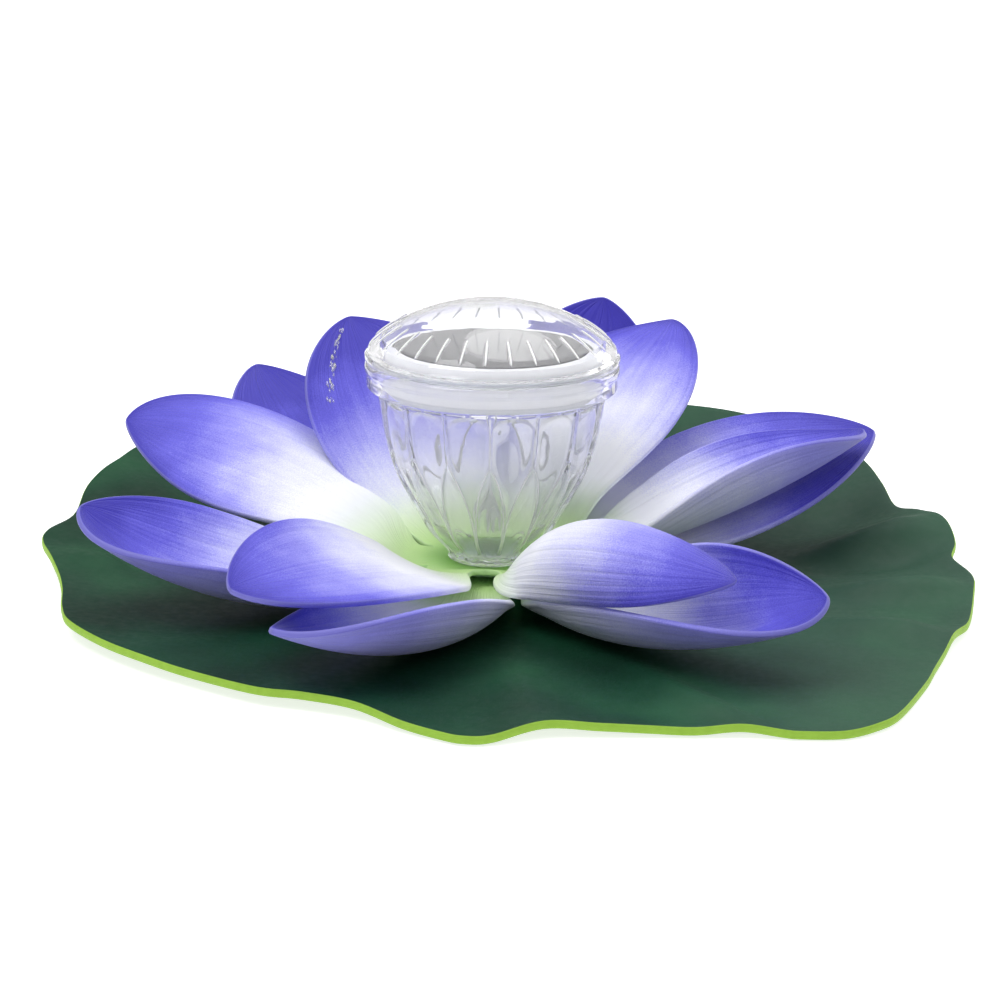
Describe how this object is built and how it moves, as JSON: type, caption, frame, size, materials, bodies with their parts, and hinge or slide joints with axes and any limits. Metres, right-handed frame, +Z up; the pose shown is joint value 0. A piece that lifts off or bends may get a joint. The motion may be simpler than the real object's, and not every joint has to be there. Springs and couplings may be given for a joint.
{
  "type": "floating pool light",
  "caption": "Floating lotus pool light: foam leaf and petal sheets around a clear lamp cup, with a solar module and LED under a lid that lifts and turns off.",
  "frame": {"origin": "the middle of the base cap's flat underside, on the floor under the lamp's axis", "axes": "+Z up along the lamp's axis, +X to the right of the side that the flower faces, +Y to the back"},
  "size_m": [0.283, 0.2798, 0.0894],
  "materials": {
    "leaf_foam": "dark green embossed EVA foam sheet, lime green underneath and on its cut edge",
    "petal_foam": "soft white EVA foam sheet, airbrushed blue-violet at the tips and green at the centre",
    "clear_plastic": "clear moulded polystyrene with fine flutes",
    "clear_rubber": "translucent silicone",
    "white_plastic": "natural white moulded plastic",
    "board": "green solder mask on glass-fibre board",
    "solar_cell": "blue-grey silicon cell with a metallic grain",
    "clear_resin": "clear cast epoxy, very glossy",
    "black_plastic": "black moulded plastic",
    "steel": "nickel-plated steel",
    "nickel": "rolled nickel strip",
    "red_wire": "red insulated hook-up wire"
  },
  "bodies": {
    "float": {"lily_leaf": "leaf_foam", "outer_petals": "petal_foam", "inner_petals": "petal_foam", "base_cap": "clear_plastic", "lamp_cup": "clear_plastic"},
    "seal": {"lid_gasket": "clear_rubber"},
    "lid": {"dome_lens": "clear_plastic", "module_tray": "white_plastic", "panel_board": "board", "cell_strip_1": "solar_cell", "cell_strip_2": "solar_cell", "cell_strip_3": "solar_cell", "cell_strip_4": "solar_cell", "panel_resin": "clear_resin", "circuit_board": "board", "driver_chip": "black_plastic", "choke_coil": "black_plastic", "pcb_screw_1": "steel", "pcb_screw_2": "steel", "battery_cell": "steel", "battery_tab_plus": "nickel", "battery_tab_minus": "nickel", "led_lamp": "clear_resin", "led_lead_1": "steel", "led_lead_2": "steel", "switch_body": "white_plastic", "panel_wire_red": "red_wire", "panel_wire_black": "black_plastic"},
    "knob": {"switch_knob": "black_plastic"}
  },
  "joints": [
    {"name": "lid_lift", "type": "slide", "parent": "float", "child": "seal", "axis": [0, 0, 1], "range_m": [0, 0.045]},
    {"name": "lid_turn", "type": "hinge", "parent": "seal", "child": "lid", "pos_m": [0, 0, 0.071], "axis": [0, 0, 1], "continuous": true},
    {"name": "switch_slide", "type": "slide", "parent": "lid", "child": "knob", "axis": [0, 1, 0], "range_m": [0, 0.002]}
  ]
}
